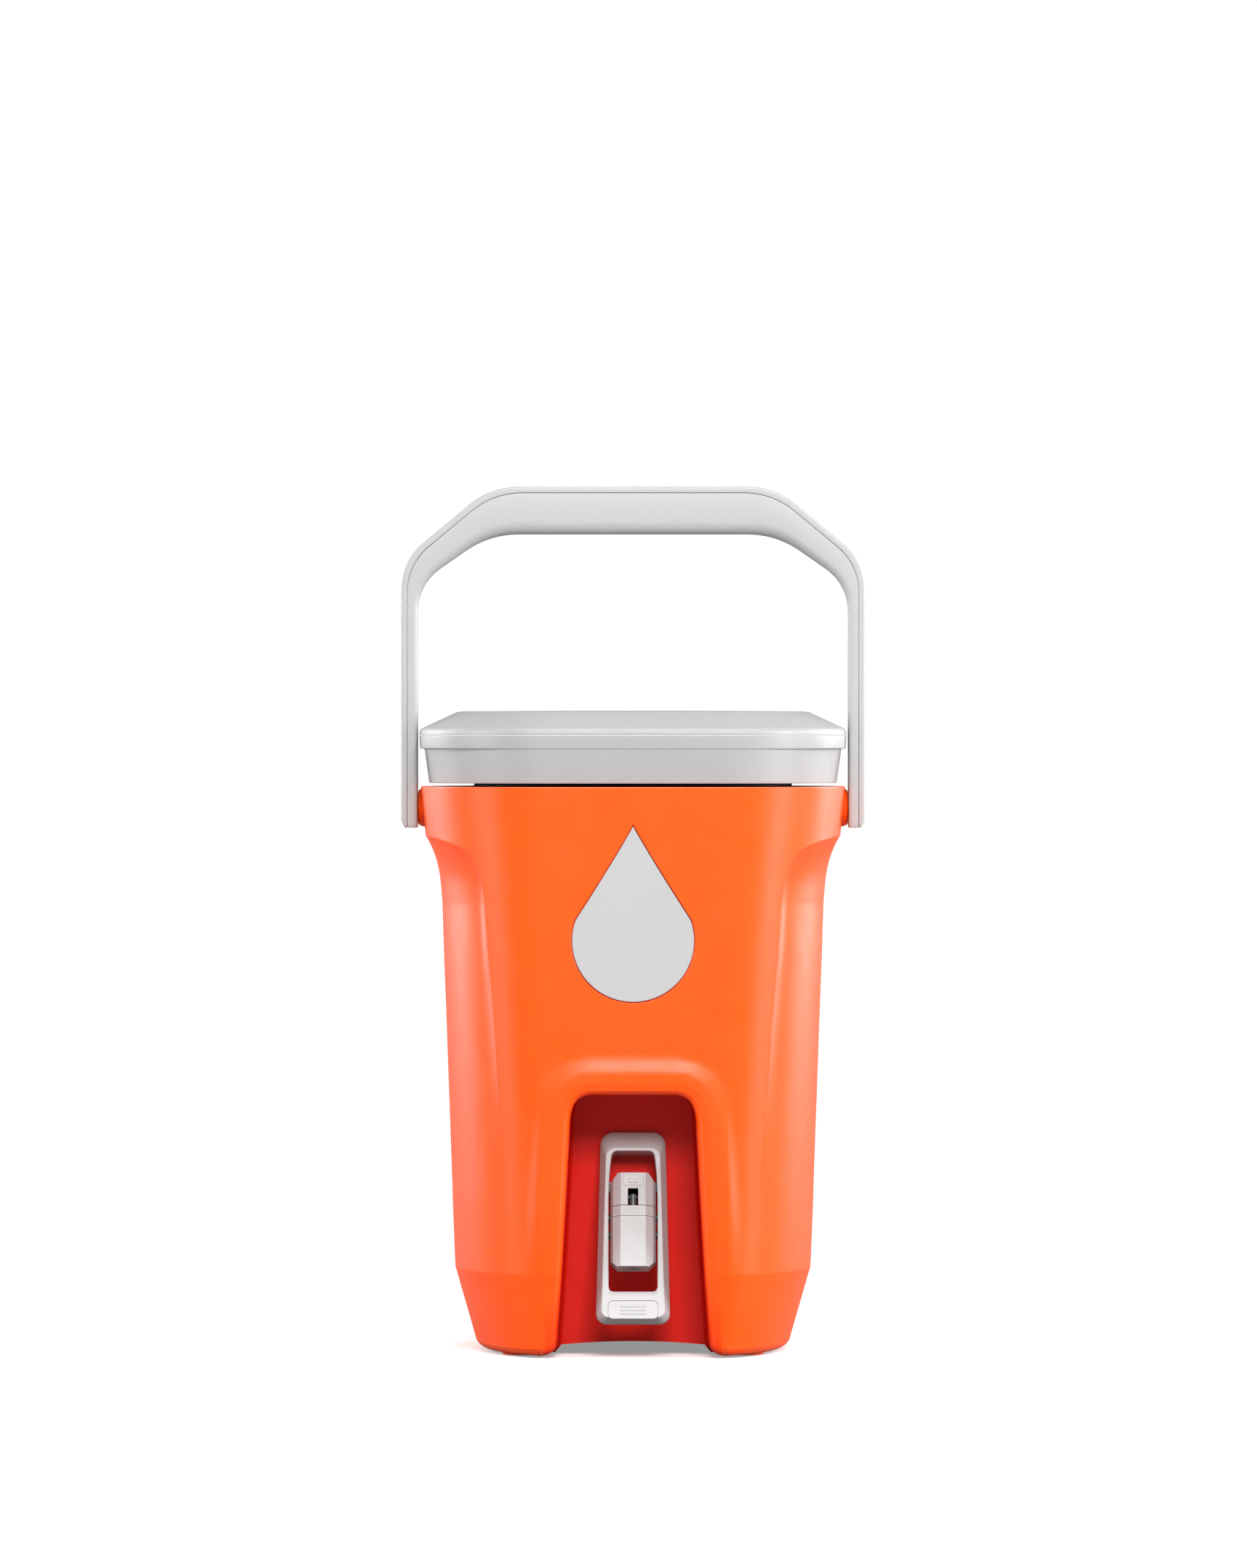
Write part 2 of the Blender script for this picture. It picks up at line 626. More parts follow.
def recess_patches(shell):
    """The emblem's recess: a rounded edge, its wall and its floor."""
    rows = [on_front(drop_outline(DROP_GAP + grow) + [0, DROP["z"]], depth) for grow, depth in RECESS_ROWS]
    middle = np.array([0, -118, DROP["z"] - 15])
    faces = grid_faces(len(rows), len(rows[0]))
    shell.add(np.vstack(rows), faces, lambda c: (middle - c) * [1, 0, 1] + [0, -2, 0])
    outline = drop_outline(DROP_GAP + RECESS_INSET) + [0, DROP["z"]]
    region = np.vstack([outline, outline[::-1] * [-1, 1]])

    def keep(c):
        return (c[:, 0] > 0) & inside(c, region)

    flat, faces = triangulated([outline], 8.0, (0, 200), (45, 360), keep)
    shell.add(on_front(flat, DROP_DEPTH), faces, towards(0, -1, 0))


def rim_patch(shell):
    """The rounded rim and the inside of the shell's edge."""
    places = resample([(0, 0), (2 * HALF_LOOP, 0)], 3.5)[:, 0]
    border = body_at(places, np.full(len(places), SKIN_TOP))
    out = level(body_normals(places, np.full(len(places), SKIN_TOP - 1)))
    rows = [border - out * inset + [0, 0, z - SKIN_TOP] for inset, z in RIM_ROWS]
    faces = grid_faces(len(rows), len(places))
    shell.add(np.vstack(rows), faces, lambda c: np.where(c[:, 2:] > 364.5, [0, 0, 1.0], 0 * c))


def boss_patch(shell):
    """The round pad on the pocket's back wall that the spigot is clamped against."""
    low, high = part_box("outer_gasket")
    radius = (high.x - low.x) / 2 / MM + BOSS_PAST_GASKET
    profile = [(0.5, BOSS_FACE), *((radius + past, BOSS_FACE + deep) for past, deep in BOSS_ROWS)]
    points, faces = lofted(turned(profile, 64), ends=False)
    placed = along_axis(points, "y", (0, 0, (low.z + high.z) / 2 / MM))
    shell.add(placed, faces, towards(0, -1, 0), mirror=False)


def make_body(material):
    shell = Skin()
    skin_patch(shell)
    back_ring, base_border = edge_patches(shell)
    underside_patch(shell, base_border, (back_ring[-1, 0], POCKET_BACK))
    pocket_wall_patch(shell, back_ring)
    recess_patches(shell)
    rim_patch(shell)
    boss_patch(shell)
    body = shell.object("body_shell", material)
    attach(body, "jug")
    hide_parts("outer_shell")
    return body


# ------------------------------------------------------------------ lid
# Rings of the lid's parts from below: (z, half width, half depth, flat half width, power).
LID_BASE = [
    (367.2, 122, 110, 52, 2.15), (367.2, 132.1, 119.5, 57, 2.15), (389.2, 135.1, 121.3, 58, 2.15),
    (389.4, 138.0, 121.7, 58, 2.15), (397.85, 138.5, 122.3, 59, 2.15), (397.85, 130, 115, 55, 2.15),
]
LID_CAP = [
    (398.2, 130, 115, 55, 2.15), (398.2, 138.5, 122.3, 59, 2.15), (402, 138.1, 122, 59, 2.15),
    (411.7, 117.3, 103.3, 50, 2.12), (413.5, 113.5, 99.5, 48, 2.1), (413.9, 60, 52, 25, 2.1),
    (414.0, 6, 6, 2, 2.1),
]
LID_PLUG = [
    (345.0, 70, 68, 34, 2.6), (345.0, 93.3, 91.3, 48, 2.6), (352.0, 93.5, 91.5, 48, 2.6),
    (366.9, 93.5, 91.5, 48, 2.6),
]
LID_GASKET = [
    (365.3, 94.2, 92.2, 48, 2.6), (365.3, 103, 101, 52, 2.6), (366.9, 103, 101, 52, 2.6),
    (366.9, 94.2, 92.2, 48, 2.6),
]


def eased(corners, radii, steps=5):
    """A polyline in any number of dimensions whose corners are rounded by quadratic arcs."""
    p = [np.asarray(c, float) for c in corners]
    out = [p[0]]
    for before, corner, after, radius in zip(p[:-2], p[1:-1], p[2:], radii):
        if radius <= 0:
            out.append(corner)
            continue
        back, ahead = before - corner, after - corner
        start = corner + back * min(radius / np.linalg.norm(back), 0.5)
        end = corner + ahead * min(radius / np.linalg.norm(ahead), 0.5)
        out += list(quadratic(start, corner, end, steps))
    out.append(p[-1])
    return np.array(out)


def square_ring(z, half, deep, flat, power, corner=26, face=10):
    """A rounded square outline: flat front and back, each corner a superellipse out to mid-depth."""
    t = np.linspace(0, math.pi / 2, corner)
    x = flat + (half - flat) * np.clip(np.cos(t), 0, 1) ** (2 / power)
    y = deep * np.sin(t) ** (2 / power)
    back = np.linspace(flat, -flat, face + 2)[1:-1]
    right = np.stack([x, y], axis=1)
    left = right[::-1] * [-1, 1]
    upper = np.vstack([right, np.stack([back, np.full(face, deep)], axis=1), left])
    loop = np.vstack([upper, upper[1:-1][::-1] * [1, -1]])
    return np.column_stack([loop, np.full(len(loop), z)])


def square_loft(corners, radii):
    return lofted([square_ring(*row) for row in eased(corners, radii)])


def put(piece, body, nodes):
    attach(piece, body)
    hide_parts(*nodes)
    return piece


def make_lid(grey, rubber):
    base = square_loft(LID_BASE, (0.9, 0.5, 0.7, 0.5))
    put(solid_object("lid_skirt", *base, grey), "lid", ["lid_base"])
    cap = square_loft(LID_CAP, (0.5, 3.2, 5.0, 4.0, 0))
    put(solid_object("lid_top", *cap, grey), "lid", ["lid_cap"])
    plug = square_loft(LID_PLUG, (4.5, 3.0))
    put(solid_object("lid_stopper", *plug, grey), "lid", ["lid_plug"])
    rings = [square_ring(*row) for row in eased(LID_GASKET, (0.6, 0.6))]
    points, faces = lofted([*rings, rings[0]], ends=False)
    put(solid_object("lid_seal", points, faces, rubber), "lid", ["lid_gasket"])


# ------------------------------------------------------------------ bail handle
BAIL = {"half": 150.2, "top": 559.0, "foot": 338.2, "shoulder": 510.7, "flat": 92.2}
BAIL_INNER = {"half": 139.6, "top": 528.4, "shoulder": 496.1, "flat": 92.8}
BAIL_DEPTH = 15.0
BAIL_SKIN = 4.0
BAIL_PULL = 18.7  # how far the shoulders' rounding reaches along the lines that it joins
BAIL_STEPS = (0, 0.002, 0.008, 0.015, 0.03, 0.06, 0.12, 0.3, 0.5, 0.75)  # closer together by the foot
CHAMFER, CHAMFER_RISE = 2.2, 5.0  # of the foot's outer edge
FOOT_EASE = (0.9, 0.35, 0.1)  # the first samples are drawn in to round the foot's end
PARTING = 0.3


def bail_line(half, shoulder, flat, top, foot):
    """Half of the bail's outline (x, z), from the right foot to the middle of the grip."""
    leg, crown = np.array([half, shoulder]), np.array([flat, top])
    slant = (crown - leg) / np.linalg.norm(crown - leg)
    low, high = (half, shoulder - BAIL_PULL), (flat - BAIL_PULL, top)
    rise = [(half, foot + t * (low[1] - foot)) for t in BAIL_STEPS]
    lower = quadratic(low, leg, leg + slant * BAIL_PULL, 16)
    upper = quadratic(crown - slant * BAIL_PULL, crown, high, 16)
    grip = [(x, top) for x in np.linspace(high[0], 0, 12)[1:]]
    return np.vstack([rise, lower, upper, grip])


def bail_lines():
    """The outer line, the parting line between the two halves, and the inner line."""
    half, shoulder, flat, top = (BAIL[key] for key in ("half", "shoulder", "flat", "top"))
    inner = (BAIL_INNER[key] for key in ("half", "shoulder", "flat", "top"))
    parting = (half - BAIL_SKIN, shoulder - BAIL_SKIN / 2, flat - BAIL_SKIN / 2, top - BAIL_SKIN)
    return [bail_line(*line, BAIL["foot"]) for line in ((half, shoulder, flat, top), parting, inner)]


def bail_band(near, far, near_round, far_round):
    """A band between two lines; each edge's rounding is (across, deep) radii for a width."""
    quarter = [np.linspace(0, math.pi / 2, count) for count in (6, 8)]
    sections = []
    for i, (a, b) in enumerate(zip(near, far)):
        width = np.linalg.norm(b - a)
        along = (b - a) / width
        nu, ny = near_round(width)
        fu, fy = far_round(width)
        side = [(nu - nu * math.cos(t), BAIL_DEPTH - ny + ny * math.sin(t)) for t in quarter[0]]
        side += [(width - fu + fu * math.sin(t), BAIL_DEPTH - fy + fy * math.cos(t)) for t in quarter[1]]
        ease = FOOT_EASE[i] if i < len(FOOT_EASE) else 0.0
        centre = width / 2
        ring = []
        for u, y in [*side, *[(u, -y) for u, y in reversed(side)]]:
            at = a + along * (centre + (u - centre) * (1 - ease / max(width, 2)))
            ring.append((at[0], y * (1 - ease / BAIL_DEPTH), at[1]))
        sections.append(np.array(ring))
    mirrored = [s * [-1, 1, 1] for s in reversed(sections[:-1])]
    return lofted([*sections, *mirrored])


def make_bail(material):
    outer, parting, inner = bail_lines()
    chamfered = outer.copy()
    low = chamfered[:, 1] < BAIL["foot"] + CHAMFER_RISE
    chamfered[low, 0] -= CHAMFER * (1 - (chamfered[low, 1] - BAIL["foot"]) / CHAMFER_RISE)
    skin = bail_band(chamfered, parting, lambda w: (1.4, 1.4), lambda w: (0.3, 0.3))
    put(solid_object("handle_skin", *skin, material, 40), "handle", ["handle_outer_shell"])
    away = (inner - parting) / np.linalg.norm(inner - parting, axis=1)[:, None]
    core = bail_band(parting + away * PARTING, inner, lambda w: (0.3, 0.3), lambda w: (0.32 * w, 0.24 * w))
    put(solid_object("handle_core", *core, material, 40), "handle", ["handle_inner_shell"])


def box_centre(node):
    """The middle of a CAD node's box, in millimetres."""
    low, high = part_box(node)
    return (low + high) / 2 / MM


def make_bosses(material):
    z = box_centre("pivot_pin_right").z
    profile = eased([(12.5, 128), (12.5, 136.6), (11, 139.2), (5.2, 139.2), (5.2, 134)], (1.6, 0.9, 0.3), 5)
    for side, axis in (("left", "-x"), ("right", "x")):
        points, faces = lofted(turned(profile, 72), ends=False)
        boss = solid_object(f"ear_boss_{side}", along_axis(points, axis, (0, 0, z)), faces, material)
        put(boss, "jug", [f"pivot_boss_{side}"])


# ------------------------------------------------------------------ spigot
LEVER_Y, LEVER_Z = -80.0, 88.3
TILT = math.radians(17)
FRAME_FRONT, FRAME_BACK, FRAME_TOP, FRAME_BOTTOM, FRAME_BEND = -7.9, 4.1, 59.1, -74.0, -37.2
PADDLE_LEAN = math.radians(7)
TOP_TRIM, FOOT_TRIM = 1.6, 4.0  # the loop's ends are this much short of FRAME_TOP and FRAME_BOTTOM
FACE_INSET = (3.9, 13.0)  # where the loop's flat face starts, from the sides and from the top
# The loop's edge from the back to the face: (y, inset, inset at the top).
FRAME_ROWS = [
    (FRAME_BACK, 0.8, 0.8), (FRAME_BACK - 0.2, 0.25, 0.25), (FRAME_BACK - 0.8, 0, 0), (0.9, 0, 0),
    (0.3, 0.05, 0.4), (-0.15, 0.2, 1.1), (FRAME_FRONT + 0.45, 3.3, 12.1),
    (FRAME_FRONT + 0.12, 3.55, 12.6), (FRAME_FRONT, *FACE_INSET),
]
# The opening's edge: (grown, depth) at the face, where the foot is softer, then (grown, y) at the back.
OPENING_SOFT = [(0.55, 0.0), (0.22, 0.12), (0.05, 0.32), (0.0, 0.6)]
OPENING_BACK = [(0, FRAME_BACK - 0.8), (0.2, FRAME_BACK - 0.25), (0.7, FRAME_BACK)]
OPENING_FOOT, OPENING_TOP = -49.9, 42.8
GROOVE_DEPTH = 0.7
PAD = {"z": -62.8, "half_x": 15.8, "half_z": 6.0, "round": 3.0}


def leaned(points):
    """Points drawn upright about the lever's pivot, leaned back with the spigot."""
    x, y, z = np.asarray(points, float).T
    c, s = math.cos(TILT), math.sin(TILT)
    return np.stack([x, LEVER_Y + y * c + z * s, LEVER_Z - y * s + z * c], axis=1)


def bent(points):
    """The lever's points with the paddle leaned forward below the bend."""
    out = np.array(points, float)
    below = np.clip(FRAME_BEND - out[:, 2], 0, None)
    out[:, 1] -= below * math.tan(PADDLE_LEAN)
    return out


def arc(x, z, radius, start):
    """A quarter circle (x, z) about a centre, from the start angle on."""
    a = np.linspace(start, start + math.pi / 2, 10)
    return np.stack([x + radius * np.cos(a), z + radius * np.sin(a)], 1)


def frame_outline(inset, top_inset):
    """The lever's outer outline (x, z) at an inset, anticlockwise from the foot of its right side."""
    top_half, foot_half = 21 - inset, 23.65 - inset
    top, bottom = FRAME_TOP - TOP_TRIM - top_inset, FRAME_BOTTOM + FOOT_TRIM + inset * 0.6
    round_top, round_foot = 9 - inset * 0.7, 7 - inset * 0.6
    foot = arc(foot_half - round_foot, bottom + round_foot, round_foot, -math.pi / 2)
    head = arc(top_half - round_top, top - round_top, round_top, 0)
    start, end = foot[-1], head[0]
    below, above = np.linspace(start[1], FRAME_BEND, 5), np.linspace(FRAME_BEND, end[1], 14)
    levels = np.concatenate([below[1:], above[1:-1]])
    side = np.stack([np.interp(levels, [start[1], end[1]], [start[0], end[0]]), levels], 1)
    cap = np.stack([np.linspace(head[-1, 0], 0, 7)[1:], np.full(6, top)], 1)
    base = np.stack([np.linspace(0, foot[0, 0], 7)[:-1], np.full(6, bottom)], 1)
    return both_sides(np.vstack([base, foot, side, head, cap]))


def opening_outline(grow=0.0):
    """The loop's opening (x, z), anticlockwise from the middle of its foot."""
    low, high, half = OPENING_FOOT - grow, OPENING_TOP + grow, 15.65 + grow
    foot = quadratic((12.0 + grow, low), (half, low), (half, low + 3.6), 8)
    sides = [(half, z) for z in np.linspace(low + 6, 6, 12)]
    sides += list(quadratic((half, 9), (15.55 + grow, 20), (14.75 + grow, 30), 8))
    head = quadratic((13.9 + grow, 38.4), (13.5 + grow, high), (9.4 + grow, high), 10)
    cap = [(x, high) for x in np.linspace(9.4 + grow, 0, 6)[1:]]
    base = [(x, low) for x in np.linspace(0, 12.0 + grow, 6)[:-1]]
    return both_sides(np.vstack([base, foot, sides, head, cap]))


def lozenge(grow=0.0, half_x=None, half_z=None, corner=None, centre_z=None, steps=7):
    """A rounded rectangle (x, z), anticlockwise."""
    hx, hz = (half_x or PAD["half_x"]) + grow, (half_z or PAD["half_z"]) + grow
    r = (corner or PAD["round"]) + grow
    middle = PAD["z"] if centre_z is None else centre_z
    x, z = hx - r, hz - r
    out = []
    for cx, cz, start in ((x, -z, -90), (x, z, 0), (-x, z, 90), (-x, -z, 180)):
        for a in np.radians(np.linspace(start, start + 90, steps)):
            out.append((cx + r * math.cos(a), middle + cz + r * math.sin(a)))
    return np.array(out)


def closed(loop):
    return np.vstack([loop, loop[:1]])


def at_depth(flat, y):
    flat = np.asarray(flat, float)
    return np.stack([flat[:, 0], np.full(len(flat), float(y)) if np.isscalar(y) else y, flat[:, 1]], axis=1)


def facing_from(centre, sign=1.0):
    """Directions away from (or, with sign -1, towards) a point."""
    return lambda c: (c - np.asarray(centre, float)) * sign


def on_lever(points):
    """Points drawn upright, bent and leaned as the lever is."""
    return leaned(bent(points))


def lever_frame(material):
    """The loop and the paddle: sides, opening, face, the groove round the pad, and back."""
    shell = Skin()

    def rings(levels, outward):
        faces = grid_faces(len(levels), len(levels[0]), True)
        shell.add(on_lever(np.vstack(levels)), faces, outward, mirror=False)

    def sheet(y, edges, spacing, look, low=(-25, -76), high=(25, 60)):
        """A flat face inside the first edge and outside the others."""
        def keep(c):
            return inside(c, edges[0]) & ~np.any([inside(c, hole) for hole in edges[1:]] or [False], axis=0)

        flat, faces = triangulated([closed(edge) for edge in edges], spacing, low, high, keep)
        shell.add(on_lever(at_depth(flat, y)), faces, towards(0, look, 0), mirror=False)

    rings(
        [at_depth(frame_outline(inset, top), y) for y, inset, top in FRAME_ROWS],
        facing_from(leaned([(0, -2, 0)])[0]),
    )
    opening = []
    for grow, deep in OPENING_SOFT:
        outline = opening_outline(grow)
        foot = smoothstep(OPENING_FOOT + 2.4, OPENING_FOOT + 0.4, outline[:, 1])
        outline[:, 1] -= foot * grow * 4.5
        opening.append(at_depth(outline, FRAME_FRONT + deep * (1 + 3.0 * foot)))
    opening += [at_depth(opening_outline(grow), y) for grow, y in OPENING_BACK]
    rings(opening, facing_from(leaned([(0, -2, -4)])[0], -1.0))
    sheet(FRAME_FRONT, [frame_outline(*FACE_INSET), opening[0][:, [0, 2]], lozenge(0.3)], 3.0, -1)

    groove = [
        at_depth(lozenge(grow), FRAME_FRONT + deep)
        for grow, deep in ((0.3, 0), (0.25, 0.12), (0.25, GROOVE_DEPTH))
    ]
    rings(groove, facing_from(on_lever([(0, FRAME_FRONT, PAD["z"])])[0], -1.0))
    sheet(FRAME_FRONT + GROOVE_DEPTH, [lozenge(0.25)], 3.0, -1, (-17, -71), (17, -57))
    sheet(FRAME_BACK, [frame_outline(0.8, 0.8), opening_outline(0.7)], 4.0, 1)
    put(shell.object("lever_loop", material), "lever", ["push_frame"])


def raised_plate(shell, place, outlines, top):
    """A plate with a rounded edge: outlines are (grow, y) pairs, top closes it."""
    rings = [at_depth(flat, y) for flat, y in outlines]
    points, faces = lofted(rings, ends=False)
    middle = place([(0, top + 2, rings[0][:, 2].mean())])[0]
    shell.add(place(points), faces, facing_from(middle), mirror=False)
    rim = outlines[-1][0]
    low, high = rim.min(0) - 1, rim.max(0) + 1
    flat, faces = triangulated([closed(rim)], 2.5, low, high, lambda c: inside(c, rim))
    shell.add(place(at_depth(flat, outlines[-1][1])), faces, towards(0, -1, 0), mirror=False)


RIB_RISE = 0.38


def lever_pad(material):
    """The thumb pad, with plain grip ribs."""
    shell = Skin()
    face = FRAME_FRONT - 0.05
    outlines = [(lozenge(0), face + 0.6), (lozenge(0), face + 0.15), (lozenge(-0.12), face)]
    raised_plate(shell, on_lever, outlines, face)
    for step in (-1, 0, 1):
        middle = PAD["z"] + step * 2.5

        steps = ((0.25, 0.02), (0.12, -0.2), (-0.1, -0.34), (-0.25, -RIB_RISE))
        outlines = [(lozenge(grow, 8.0, 0.55, 0.5, middle, 5), face + y) for grow, y in steps]
        raised_plate(shell, on_lever, outlines, face - RIB_RISE)
    put(shell.object("lever_thumb_pad", material), "lever", ["push_pad"])


# ------------------------------------------------------------------ emblem and small turned parts
def make_emblem(material):
    """The drop on the front, a thin plate lying just inside its recess."""
    rows = [on_front(both_sides(drop_outline(grow) + [0, DROP["z"]]), depth) for grow, depth in PLATE_ROWS]
    plate = Skin()
    middle = np.array([0, -116, DROP["z"] - 15])
    plate.add(np.vstack(rows), grid_faces(len(rows), len(rows[0]), True), facing_from(middle), mirror=False)
    for level_at, look in ((-1, -1), (0, 1)):
        outline = rows[level_at][:, [0, 2]]
        low, high = outline.min(0), outline.max(0)
        flat, faces = triangulated([closed(outline)], 5.0, low, high, lambda c: inside(c, outline))
        plate.add(on_front(flat, PLATE_ROWS[level_at][1]), faces, towards(0, look, 0), mirror=False)
    put(plate.object("front_drop", material), "jug", ["front_emblem"])


def lathe(name, node, profile, axis, material, body, origin, sides=64, crisp=35.0):
    """A turned part that stands for one CAD node; closed at both ends unless its profile is a loop."""
    rings = turned(profile, sides)
    ring_shaped = np.allclose(profile[0], profile[-1])
    points, faces = lofted(rings, ends=not ring_shaped)
    made = solid_object(name, along_axis(points, axis, origin), faces, material, crisp)
    return put(made, body, [node])


def make_hinge_parts(black):
    z = box_centre("pivot_pin_right").z
    pin = eased(
        [(1.5, 126), (5, 126), (5, 143.4), (7.4, 143.4), (7.4, 144.6), (5.8, 145.8), (0.6, 145.8)],
        (0.5, 0.2, 0.4, 1.0, 1.2), 5,
    )
    bush = eased(
        [(5.1, 141), (5.1, 139.9), (6.7, 139.9), (6.7, 142.8), (5.1, 142.8), (5.1, 141)],
        (0.2, 0.3, 0.3, 0.2), 4,
    )
    for side, axis in (("left", "-x"), ("right", "x")):
        for name, node, profile, body in (
            ("ear_pin", "pivot_pin", pin, "jug"), ("handle_bearing", "handle_bush", bush, "handle"),
        ):
            lathe(f"{name}_{side}", f"{node}_{side}", profile, axis, black, body, (0, 0, z))


def make_feet(material):
    profile = eased([(4, 0), (12, 0), (12, 1.1), (7, 1.1), (7, 4.95), (2, 4.95)], (0.7, 0.3, 0.2, 0.4), 5)
    for end in ("front", "rear"):
        for side in ("left", "right"):
            node = f"foot_pad_{end}_{side}"
            centre = box_centre(node)
            place = (centre.x, centre.y, 0)
            lathe(f"foot_{end}_{side}", node, profile, "z", material, "jug", place)


SPRING = {"radius": 3.5, "wire": 0.6, "low": -23.6, "high": -3.2, "turns": 5.0, "y": -7.5}


def make_spring(material):
    """The valve's coil, which shortens as the stem rises; its top end stays put."""
    turns, low, high, wire = (SPRING[key] for key in ("turns", "low", "high", "wire"))
    around = np.linspace(0, 2 * math.pi, 12, endpoint=False)[:, None]
    rings = []
    for t in np.linspace(0, 1, 241):
        a = t * turns * 2 * math.pi
        out = np.array([math.cos(a), math.sin(a), 0.0])
        middle = out * SPRING["radius"] + [0, SPRING["y"], low + (high - low) * t]
        rings.append(middle + wire * (np.cos(around) * out + np.sin(around) * [0, 0, 1.0]))
    points, faces = lofted(rings)
    coil = solid_object("valve_coil", leaned(points), faces, material, 60)
    put(coil, "jug", ["valve_spring"])
    top = leaned([(0, SPRING["y"], high)])[0] * MM
    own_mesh(coil)


def spout_tab(material):
    """The snap tab moulded on the front of the spout's cap."""
    shell = Skin()
    front = -15.0
    for half_x, half_z, z, rise in ((6.6, 3.6, 21.6, 0.28), (3.1, 1.5, 21.2, 0.75)):
        steps = ((0.0, -0.02), (-0.04, -rise * 0.55), (-0.16, -rise * 0.9), (-0.34, -rise))
        outlines = [(lozenge(grow, half_x, half_z, 1.1, z, 5), front + y) for grow, y in steps]
        raised_plate(shell, leaned, outlines, front - rise)
    piece = shell.object("spout_snap_tab", material)
    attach(piece, "jug")


# ------------------------------------------------------------------ CAD pieces that are shown as they are
def dress(name, material, width=0.4, angle=30.0, segments=3):
    """Gives a CAD piece its finish and softens its edges."""
    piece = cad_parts[name]
    piece.data.materials.clear()
    piece.data.materials.append(material)
    piece.modifiers.new("weld", "WELD").merge_threshold = 0.00001
    flat = piece.modifiers.new("planes", "DECIMATE")
    flat.decimate_type = "DISSOLVE"
    flat.angle_limit = math.radians(0.3)
    if width > 0:
        bevel = piece.modifiers.new("edges", "BEVEL")
        bevel.width = width * MM
        bevel.segments = segments
        bevel.limit_method = "ANGLE"
        bevel.angle_limit = math.radians(angle)
        bevel.harden_normals = False
    smooth = piece.modifiers.new("shading", "WEIGHTED_NORMAL")
    smooth.keep_sharp = True
    for polygon in piece.data.polygons:
        polygon.use_smooth = True


# ------------------------------------------------------------------ materials
def add_node(tree, kind, sockets=None, **settings):
    made = tree.nodes.new(kind)
    for key, value in settings.items():
        setattr(made, key, value)
    for key, value in (sockets or {}).items():
        if isinstance(value, bpy.types.NodeSocket):
            tree.links.new(value, made.inputs[key])
        else:
            made.inputs[key].default_value = value
    return made


def noise(tree, place, scale, detail=2.0, rough=0.5):
    sockets = {"Vector": place, "Scale": scale, "Detail": detail, "Roughness": rough}
    return add_node(tree, "ShaderNodeTexNoise", sockets).outputs["Fac"]


def ranged(tree, value, low, high, to_low, to_high):
    sockets = {"Value": value, "From Min": low, "From Max": high, "To Min": to_low, "To Max": to_high}
    return add_node(tree, "ShaderNodeMapRange", sockets).outputs["Result"]


def mixed(tree, factor, first, second, blend="MIX"):
    made = add_node(tree, "ShaderNodeMix", data_type="RGBA", blend_type=blend)
    for index, value in ((0, factor), (6, first), (7, second)):
        if isinstance(value, bpy.types.NodeSocket):
            tree.links.new(value, made.inputs[index])
        else:
            made.inputs[index].default_value = value if index == 0 else (*value, 1.0)
    return made.outputs[2]


def shaded(colour, by):
    return tuple(min(1.0, max(0.0, c * by)) for c in colour)


def maths(tree, operation, *values):
    return add_node(tree, "ShaderNodeMath", dict(enumerate(values)), operation=operation).outputs[0]


def feed(tree, shader, **sockets):
    """Links each output to the shader's socket of that name, with _ for a space."""
    for name, value in sockets.items():
        tree.links.new(value, shader.inputs[name.replace("_", " ")])


def new_material(name):
    material = bpy.data.materials.new(name)
    material.use_nodes = True
    tree = material.node_tree
    place = add_node(tree, "ShaderNodeTexCoord").outputs["Object"]
    return material, tree, tree.nodes["Principled BSDF"], place


def bumped(tree, shader, layers):
    """Stacks (height, distance in millimetres, strength) bumps on the shader."""
    normal = None
    for height, distance, strength in layers:
        sockets = {"Height": height, "Distance": distance * MM, "Strength": strength}
        if normal is not None:
            sockets["Normal"] = normal
        normal = add_node(tree, "ShaderNodeBump", sockets).outputs["Normal"]
    tree.links.new(normal, shader.inputs["Normal"])


WEAR_RADIUS = 1.6
WEAR_TINT = 0.3
WEAR_SHINE = 0.12


def worn_edges(tree, patches):
    """Patchy mask along edges, where handling rubs the texture down."""
    rounded = add_node(tree, "ShaderNodeBevel", {"Radius": WEAR_RADIUS * MM}, samples=4).outputs["Normal"]
    plain = add_node(tree, "ShaderNodeNewGeometry").outputs["Normal"]
    made = add_node(tree, "ShaderNodeVectorMath", {0: rounded, 1: plain}, operation="DOT_PRODUCT")
    turn = ranged(tree, made.outputs["Value"], 0.86, 0.995, 1.0, 0.0)
    spots = ranged(tree, patches, 0.35, 0.65, 0.25, 1.0)
    return maths(tree, "MULTIPLY", turn, spots)


def inside_pocket(tree, place):
    """1 on the pocket's walls, 0 on the rest of the shell; the fades' ends are in millimetres."""
    axes = add_node(tree, "ShaderNodeSeparateXYZ", {"Vector": place}).outputs
    across = ranged(tree, maths(tree, "ABSOLUTE", axes["X"]), 55.5 * MM, 57.5 * MM, 1.0, 0.0)
    behind = ranged(tree, axes["Y"], -112.5 * MM, -100 * MM, 0.0, 1.0)
    before = ranged(tree, axes["Y"], -56 * MM, -54 * MM, 1.0, 0.0)
    return maths(tree, "MULTIPLY", maths(tree, "MULTIPLY", across, behind), before)


